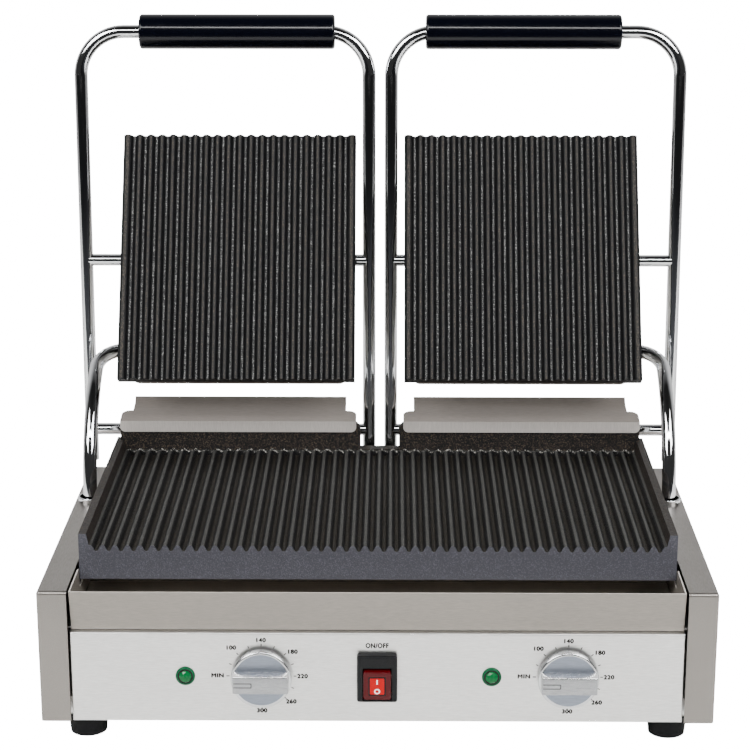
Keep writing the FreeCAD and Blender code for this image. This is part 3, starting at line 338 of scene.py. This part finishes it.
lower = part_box("lower_plate")
ribTip = deck + ribs["lowerTip"] * mm
giveMaterial("lower_plate", castIron("castIronLower", castLower, 0.0, (0, 0, 0), ribTip, -1, lower[0].y,
                                     lower[1].y - ribs["wallDepth"] * mm))
for side in sides:
    rod = joints[side + "_float"]["pos_m"]
    turn = math.radians(joints[side + "_lift"]["range_deg"][1] + joints[side + "_float"]["range_deg"][1])
    giveMaterial("upper_plate_" + side, castIron("castIronUpper_" + side, castUpper, turn, rod,
                                                 ribs["upperTip"] * mm, 1, None, None))
print("finishes given to the frame")


# Smooth-shaded copies of the curved and folded metalwork: CAD slot, then the nodes copied.
smoothed = {
    "chrome": finishes["chrome"],
    "grip_black": finishes["phenolic"],
    "rubber": ("foot_front_left", "foot_front_right", "foot_rear_left", "foot_rear_right"),
    "switch_black": finishes["nylonBlack"],
    "brushed_steel": finishes["side"] + finishes["cover"],
    "guard_steel": finishes["guard"],
    "tray_steel": ("drip_tray",),
}
easedEdges = {"guard_left": 0.5, "guard_right": 0.5, "drip_tray": 0.4}  # mm
paintedHighlightLips = ("guard_left", "guard_right")  # their turned-down front edge gets a paler copy of the steel, brushed up and down: painted highlight
paintedLightPans = ("drip_tray",)  # their inside gets a paler, duller copy of the steel: painted light in the shade under the plate
sharpFrom = math.radians(32)
quarterTurn = Matrix.Rotation(math.radians(90), 3, "X")


def newPiece(name, shape, slotName, body, *pieceMaterials):
    mesh = bpy.data.meshes.new(name)
    shape.to_mesh(mesh)
    shape.free()
    piece = bpy.data.objects.new(name, mesh)
    bpy.context.scene.collection.objects.link(piece)
    for material in pieceMaterials:
        mesh.materials.append(material)
    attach(piece, body)
    return piece


def shadeSmooth(shape, limit=sharpFrom):
    for face in shape.faces:
        face.smooth = True
    for edge in shape.edges:
        edge.smooth = len(edge.link_faces) == 2 and edge.calc_face_angle(0.0) < limit


def addSmoothCopy(nodeName, slotName):
    source = frame["nodes"][nodeName]
    shape = bmesh.new()
    shape.from_mesh(source.data)
    bmesh.ops.remove_doubles(shape, verts=shape.verts, dist=0.002 * mm)
    shadeSmooth(shape)
    skins = [source.material_slots[0].material]
    if nodeName in paintedHighlightLips:
        skins.append(materials["lip"])
    if nodeName in paintedLightPans:
        skins.append(materials["pan"])
    for face in shape.faces:
        # front-facing guard faces take the paler lip copy: painted highlight
        lip = nodeName in paintedHighlightLips and face.normal.y < -0.9
        # the tray's inside faces take the paler pan copy: painted light
        pan = nodeName in paintedLightPans and (face.normal.y > 0.9 or face.normal.z > 0.9)
        face.material_index = 1 if lip or pan else 0
    words = nodeName.split("_")
    name = words[0] + "".join(word.capitalize() for word in words[1:]) + "Skin"
    piece = newPiece(name, shape, slotName, body_of(source)[0], *skins)
    if nodeName in easedEdges:
        easing = piece.modifiers.new("easedEdges", "BEVEL")
        easing.width = easedEdges[nodeName] * mm
        easing.segments = 2
        easing.limit_method = "ANGLE"
        easing.angle_limit = math.radians(40)
        easing.harden_normals = False
    piece.modifiers.new("evenNormals", "WEIGHTED_NORMAL").keep_sharp = True
    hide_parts(nodeName)


for slotName, nodeNames in smoothed.items():
    for nodeName in nodeNames:
        addSmoothCopy(nodeName, slotName)
print("smooth copies made")


def facesOf(verts):
    return {face for vert in verts for face in vert.link_faces}


def edgesOf(verts):
    return {edge for vert in verts for edge in vert.link_edges}


def addBlock(shape, centre, size, index=0):  # a box; returns its vertices
    made = bmesh.ops.create_cube(shape, size=1.0)["verts"]
    bmesh.ops.scale(shape, vec=size, verts=made)
    bmesh.ops.translate(shape, vec=centre, verts=made)
    for face in facesOf(made):
        face.material_index = index
    return made


def addDisc(shape, radius, back, front, index=0, segments=96):  # a cylinder along Y; returns its vertices
    made = bmesh.ops.create_cone(shape, cap_ends=True, segments=segments, radius1=radius, radius2=radius,
                                 depth=back - front)["verts"]
    bmesh.ops.rotate(shape, cent=(0, 0, 0), matrix=quarterTurn, verts=made)
    bmesh.ops.translate(shape, vec=(0, (back + front) / 2, 0), verts=made)
    for face in facesOf(made):
        face.material_index = index
    return made


def edgesAt(verts, level):  # the edges that lie in one plane across Y
    return [edge for edge in edgesOf(verts) if all(abs(v.co.y - level) < 1e-6 for v in edge.verts)]


def edgesAlongY(verts, least):
    return [edge for edge in edgesOf(verts) if abs(edge.verts[0].co.y - edge.verts[1].co.y) > least]


def frontFaces(shape, level):  # the flat faces that look forwards from one plane
    return [face for face in shape.faces
            if face.normal.y < -0.99 and abs(face.calc_center_median().y - level) < 1e-5]


def roundEdges(shape, edges, radius, segments):
    bmesh.ops.bevel(shape, geom=edges, offset=radius, offset_type="OFFSET", segments=segments, profile=0.5,
                    affect="EDGES", material=-1)


def pullForward(shape, faces, depth):  # gives flat faces a thickness towards the front
    pulled = bmesh.ops.extrude_face_region(shape, geom=faces)["geom"]
    pulled = [g for g in pulled if isinstance(g, bmesh.types.BMVert)]
    bmesh.ops.translate(shape, vec=(0, -depth, 0), verts=pulled)
    return pulled


knob = {"radius": 24.7, "standOff": 2.5, "skirt": 6.0, "depth": 16.8, "rimRound": 2.0, "rimWidth": 2.6,
        "barHalf": 7.6, "barInset": 1.0, "barRound": 1.0,
        "slot": (14.2, 3.5), "slotFrom": 0.9, "slotDrop": 0.1, "slotShadeLine": 0.7, "slotShadeProud": 0.06}


def addKnob(side):
    centre = Vector(joints[side + "_knob_turn"]["pos_m"])
    shape = bmesh.new()
    back = -knob["standOff"] * mm
    face = back - knob["skirt"] * mm
    front = back - knob["depth"] * mm
    radius = knob["radius"] * mm
    disc = addDisc(shape, radius, back, face)
    roundEdges(shape, edgesAt(disc, face), knob["rimRound"] * mm, 5)
    bmesh.ops.inset_region(shape, faces=frontFaces(shape, face),
                           thickness=(knob["rimWidth"] - knob["rimRound"]) * mm)
    for f in frontFaces(shape, face):
        if len(f.verts) > 20:  # the round face, not the rim's quads
            f.material_index = 1
    barRadius = radius - knob["barInset"] * mm
    barHalf = knob["barHalf"] * mm
    barWidth = 2 * math.sqrt(barRadius ** 2 - barHalf ** 2)
    bar = addBlock(shape, (0, (front + face) / 2, 0), (barWidth, face - front, 2 * barHalf), 2)
    for f in facesOf(bar):  # the bar's upward faces take the near-white copy: painted highlight
        f.material_index = 4 if f.normal.z > 0.9 or f.calc_center_median().z > barHalf * 0.9 else 2
    roundEdges(shape, edgesAlongY(bar, mm) + edgesAt(bar, front), knob["barRound"] * mm, 3)
    length, width = (v * mm for v in knob["slot"])
    middle = -barWidth / 2 + length / 2 + knob["slotFrom"] * mm
    drop = -knob["slotDrop"] * mm
    line = knob["slotShadeLine"] * mm
    proud = knob["slotShadeProud"] * mm
    # Thin dark strips around the pointer slot, open at its left end: painted shade along the slot's edges.
    for z in (drop - width / 2, drop + width / 2):
        addBlock(shape, (middle, front, z), (length, proud, line), 3)
    addBlock(shape, (middle + length / 2, front, drop), (line, proud, width), 3)
    bmesh.ops.recalc_face_normals(shape, faces=shape.faces)
    bmesh.ops.translate(shape, vec=centre, verts=shape.verts)
    shadeSmooth(shape)
    piece = newPiece("knobDetail" + side.capitalize(), shape, "knob_aluminium", "knob_" + side,
                     materials["knobRim"], materials["knobFace"], materials["knobBar"],
                     materials["greenShade"], materials["knobEdge"])
    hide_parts("knob_" + side)


lamp = {"ring": 8.0, "proud": 1.6, "shade": 6.3, "jewel": 5.3, "rise": 2.8, "body": 6.1, "length": 26.0,
        "edge": 0.9, "shadeIn": 0.4, "shadeOut": 0.12, "bodyFrom": 0.5}


def addLamp(side):
    low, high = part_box("pilot_lamp_" + side)
    centre = Vector(((low.x + high.x) / 2, frontFace, (low.z + high.z) / 2))
    shape = bmesh.new()
    proud = -lamp["proud"] * mm
    ring = addDisc(shape, lamp["ring"] * mm, 0.0, proud, 0)
    roundEdges(shape, edgesAt(ring, proud), lamp["edge"] * mm, 4)
    addDisc(shape, lamp["shade"] * mm, proud + lamp["shadeIn"] * mm, proud - lamp["shadeOut"] * mm, 1)
    jewel = bmesh.ops.create_icosphere(shape, subdivisions=2, radius=lamp["jewel"] * mm)["verts"]
    bmesh.ops.scale(shape, vec=(1, lamp["rise"] / lamp["jewel"], 1), verts=jewel)
    bmesh.ops.translate(shape, vec=(0, proud, 0), verts=jewel)
    gem = facesOf(jewel)
    addDisc(shape, lamp["body"] * mm, lamp["length"] * mm, lamp["bodyFrom"] * mm, 1, 48)
    bmesh.ops.recalc_face_normals(shape, faces=shape.faces)
    shadeSmooth(shape)
    for f in gem:  # facets, as cut
        f.material_index = 2
        f.smooth = False
    bmesh.ops.translate(shape, vec=centre, verts=shape.verts)
    piece = newPiece("pilotLampDetail" + side.capitalize(), shape, "lamp_green", "base",
                     materials["greenRing"], materials["greenShade"], materials["greenJewel"])
    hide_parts("pilot_lamp_" + side)


rocker = {"size": (22.6, 25.4), "proud": 9.0, "back": 4.0, "tilt": 6.0, "corner": 2.0, "edge": 0.9,
          "shade": (14.2, 17.4), "window": (11.6, 14.8), "mark": (1.0, 4.2), "markRise": 4.0,
          "ringOuter": 2.4, "ringInner": 1.45, "ringDrop": 4.6,
          "shadeProud": 0.04, "windowProud": 0.10, "plateCorner": 0.8, "markProud": 0.1, "markDepth": 0.08}


def addRocker():
    centre = Vector(joints["rocker_tilt"]["pos_m"])
    shape = bmesh.new()
    width, height = (v * mm for v in rocker["size"])
    front = -rocker["proud"] * mm
    back = rocker["back"] * mm
    block = addBlock(shape, (0, (front + back) / 2, 0), (width, back - front, height))
    roundEdges(shape, edgesAlongY(block, mm), rocker["corner"] * mm, 4)
    roundEdges(shape, edgesAt(shape.verts, front), rocker["edge"] * mm, 3)
    for index, key in ((1, "shade"), (2, "window")):
        w, h = (v * mm for v in rocker[key])
        rise = rocker[key + "Proud"] * mm
        plate = addBlock(shape, (0, front, 0), (w, 2 * rise, h), index)
        roundEdges(shape, edgesAlongY(plate, rise), rocker["plateCorner"] * mm, 3)
    w, h = (v * mm for v in rocker["mark"])
    markFace = front - rocker["markProud"] * mm
    depth = rocker["markDepth"] * mm
    addBlock(shape, (0, markFace, rocker["markRise"] * mm), (w, depth, h), 3)
    circles = []
    for key in ("ringOuter", "ringInner"):
        circles += bmesh.ops.create_circle(shape, segments=48, radius=rocker[key] * mm)["verts"]
    bridged = bmesh.ops.bridge_loops(shape, edges=list(edgesOf(circles)))["faces"]
    bmesh.ops.rotate(shape, cent=(0, 0, 0), matrix=quarterTurn, verts=circles)
    bmesh.ops.translate(shape, vec=(0, markFace, -rocker["ringDrop"] * mm), verts=circles)
    pulled = pullForward(shape, bridged, depth / 2)
    for f in facesOf(pulled):
        f.material_index = 3
    bmesh.ops.recalc_face_normals(shape, faces=shape.faces)
    bmesh.ops.rotate(shape, cent=(0, 0, 0), matrix=Matrix.Rotation(math.radians(rocker["tilt"]), 3, "X"),
                     verts=shape.verts)
    bmesh.ops.translate(shape, vec=centre, verts=shape.verts)
    shadeSmooth(shape)
    piece = newPiece("rockerDetail", shape, "rocker_red", "rocker", materials["redDark"],
                     materials["redShade"], materials["redWindow"], materials["inkWhite"])
    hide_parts("rocker")


for side in sides:
    addKnob(side)
    addLamp(side)
addRocker()
print("knobs, lamps and rocker made")


# Millimetres from the knob's axis: each word with the place of its middle, across and up.
dial = {
    "tickRadius": 27.3, "tick": (0.8, 2.2), "dash": (0.9, 2.6), "capHeight": 3.4, "bold": 0.36,
    "ink": 0.04, "gap": 0.01, "spacing": 1.12, "widen": 1.08,
    "ticks": (-67.5, -45, -22.5, 0, 22.5, 45, 67.5, 90, 112.5, 135, 180),
    "words": (("MIN", -35.8, 0.5), ("100", -24.2, 24.9), ("140", 0.0, 31.6), ("180", 25.7, 21.5),
              ("220", 33.3, 0.0), ("260", 23.9, -22.4), ("300", 0.0, -30.4)),
}
switchWord = {"text": "ON/OFF", "capHeight": 4.0, "width": 18.3, "above": 6.4, "bold": 0.3}


# Flat letters that face -Y, laid five times with small shifts to make them bold.
def addWord(shape, text, x, z, capHeight, bold, width=None):
    curve = bpy.data.curves.new("word", "FONT")
    curve.body = text
    curve.space_character = dial["spacing"]
    holder = bpy.data.objects.new("word", curve)
    mesh = bpy.data.meshes.new_from_object(holder)
    bpy.data.objects.remove(holder)
    low = Vector([min(v.co[i] for v in mesh.vertices) for i in range(2)])
    high = Vector([max(v.co[i] for v in mesh.vertices) for i in range(2)])
    scaleY = capHeight * mm / (high.y - low.y)
    scaleX = width * mm / (high.x - low.x) if width else scaleY * dial["widen"]
    middle = (low + high) / 2
    mesh.transform(Matrix.Translation((x * mm, 0, z * mm)) @ Matrix.Rotation(math.radians(90), 4, "X")
                   @ Matrix.Diagonal((scaleX, scaleY, 1, 1)) @ Matrix.Translation((-middle.x, -middle.y, 0)))
    for aside, up in ((0, 0), (1, 0), (-2, 0), (1, 1), (0, -2)):
        mesh.transform(Matrix.Translation((aside * bold * mm, 0, up * bold * mm)))
        shape.from_mesh(mesh)
    bpy.data.meshes.remove(mesh)


def inkThick(shape):  # gives the flat letters and ticks the thickness of the ink
    pullForward(shape, shape.faces[:], dial["ink"] * mm)
    bmesh.ops.recalc_face_normals(shape, faces=shape.faces)


def addTick(shape, degrees, width, length):
    made = bmesh.ops.create_grid(shape, x_segments=1, y_segments=1, size=0.5)["verts"]
    bmesh.ops.scale(shape, vec=(width * mm, length * mm, 1), verts=made)
    bmesh.ops.translate(shape, vec=(0, dial["tickRadius"] * mm, 0), verts=made)
    turn = quarterTurn @ Matrix.Rotation(math.radians(-degrees), 3, "Z")
    bmesh.ops.rotate(shape, cent=(0, 0, 0), matrix=turn, verts=made)


def addDial(side):
    centre = Vector(joints[side + "_knob_turn"]["pos_m"])
    shape = bmesh.new()
    for degrees in dial["ticks"]:
        addTick(shape, degrees, *dial["tick"])
    addTick(shape, -90, *dial["dash"])  # the dash after MIN
    for text, x, z in dial["words"]:
        addWord(shape, text, x, z, dial["capHeight"], dial["bold"])
    inkThick(shape)
    bmesh.ops.translate(shape, vec=(centre.x, frontFace + dial["gap"] * mm, centre.z), verts=shape.verts)
    newPiece("dialPrint" + side.capitalize(), shape, "switch_black", "base", materials["ink"])


def addSwitchWord():
    low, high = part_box("switch_housing")
    shape = bmesh.new()
    addWord(shape, switchWord["text"], 0.0, 0.0, switchWord["capHeight"], switchWord["bold"],
            switchWord["width"])
    inkThick(shape)
    middle = ((low.x + high.x) / 2, frontFace + dial["gap"] * mm, high.z + switchWord["above"] * mm)
    bmesh.ops.translate(shape, vec=middle, verts=shape.verts)
    newPiece("switchPrint", shape, "switch_black", "base", materials["ink"])


for side in sides:
    addDial(side)
addSwitchWord()
print("prints made")


# Metres and watts. Each light: place, the point it faces, its size and its power.
studio = {
    "floor": "F4F4F2", "glow": 16.0, "floorSize": 24, "feltLevel": -0.0004, "seenLevel": -0.0001,
    "cardFrom": 0.62, "cardDepth": 11.0, "cardWidth": 23.0, "cardLevel": 0.0002,
    "world": (0.04, 1.0), "worldFade": (0.0, 0.6), "zenith": (1.0, 0.45), "zenithFade": (0.65, 0.95),
    "lights": {
        "keyLeft": ((-1.6, -1.5, 1.9), (0, 0, 0.2), (1.4, 1.4), 78),
        "keyRight": ((1.6, -1.5, 1.9), (0, 0, 0.2), (1.4, 1.4), 78),
        "topSoft": ((0, 0.2, 2.4), (0, 0, 0), (2.2, 2.2), 30),
        "stripFront": ((0, -1.6, 1.75), (0, 0, 0.5), (2.4, 0.22), 34),
    },
}
# Millimetres and degrees: across, ahead of the posts and above the deck, looking down by the pitch.
camera = {"lens": 101.1, "x": 12.0, "ahead": 1576.0, "above": 637.0, "pitch": 16.1, "yaw": 0.50}


def addSheet(name, centre, size, material):
    shape = bmesh.new()
    bmesh.ops.create_grid(shape, x_segments=1, y_segments=1, size=0.5)
    bmesh.ops.scale(shape, vec=(size[0], size[1], 1), verts=shape.verts)
    bmesh.ops.translate(shape, vec=centre, verts=shape.verts)
    mesh = bpy.data.meshes.new(name)
    shape.to_mesh(mesh)
    shape.free()
    sheet = bpy.data.objects.new(name, mesh)
    bpy.context.scene.collection.objects.link(sheet)
    sheet.data.materials.append(material)
    return sheet


def addFloors():  # a pale floor that lights the object, and the same floor as the camera sees it, lit white
    size = (studio["floorSize"], studio["floorSize"])
    paper = newMaterial("paperFloor", studio["floor"], 0.0, 0.9)[0]
    felt = addSheet("floorFelt", (0, 0, studio["feltLevel"]), size, paper)
    felt.visible_camera = False
    felt.visible_transmission = False
    white, tree, shader = newMaterial("paperFloorWhite", studio["floor"], 0.0, 0.9)
    shader.inputs["Emission Color"].default_value = linear("FFFFFF")
    shader.inputs["Emission Strength"].default_value = studio["glow"]
    seen = addSheet("floorSeen", (0, 0, studio["seenLevel"]), size, white)
    seen.visible_diffuse = False
    seen.visible_glossy = False
    seen.visible_shadow = False
    black = newMaterial("cardBlack", "0C0E14", 0.0, 0.9)[0]
    depth = studio["cardDepth"]
    card = addSheet("cardBlack", (0, postFace - studio["cardFrom"] - depth / 2, studio["cardLevel"]),
                    (studio["cardWidth"], depth), black)
    card.visible_camera = False  # it only gives the chrome a dark core


def addLight(name, place, target, size, power):
    data = bpy.data.lights.new(name, "AREA")
    data.shape = "RECTANGLE"
    data.size, data.size_y = size
    data.energy = power
    source = bpy.data.objects.new(name, data)
    source.location = place
    source.rotation_euler = (Vector(target) - Vector(place)).to_track_quat("-Z", "Y").to_euler()
    bpy.context.scene.collection.objects.link(source)
    return source


def addCamera():
    data = bpy.data.cameras.new("camera")
    data.lens = camera["lens"]
    data.sensor_width = 36.0
    eye = bpy.data.objects.new("camera", data)
    eye.location = (camera["x"] * mm, postFace - camera["ahead"] * mm, deck + camera["above"] * mm)
    eye.rotation_euler = (Matrix.Rotation(math.radians(camera["yaw"]), 3, "Z")
                          @ Matrix.Rotation(math.radians(90 - camera["pitch"]), 3, "X")).to_euler()
    bpy.context.scene.collection.objects.link(eye)
    bpy.context.scene.camera = eye


def addWorld():  # bright behind the object, dim in front of it and overhead
    world = bpy.data.worlds.new("studioWorld")
    bpy.context.scene.world = world
    world.use_nodes = True
    tree = world.node_tree
    background = tree.nodes["Background"]
    background.inputs["Color"].default_value = linear("FFFFFF")
    heading = addNode(tree, "ShaderNodeTexCoord").outputs["Generated"]
    split = addNode(tree, "ShaderNodeSeparateXYZ", inputs={0: heading})
    fade = combine(tree, "MULTIPLY", spread(tree, split.outputs[1], *studio["world"], *studio["worldFade"]),
                   spread(tree, split.outputs[2], *studio["zenith"], *studio["zenithFade"]))
    tree.links.new(fade, background.inputs["Strength"])


addWorld()
addFloors()
for name, (place, target, size, power) in studio["lights"].items():
    light = addLight(name, place, target, size, power)
    light.visible_glossy = name != "topSoft"  # no white streak on the grips' tops
addCamera()
print("studio ready")
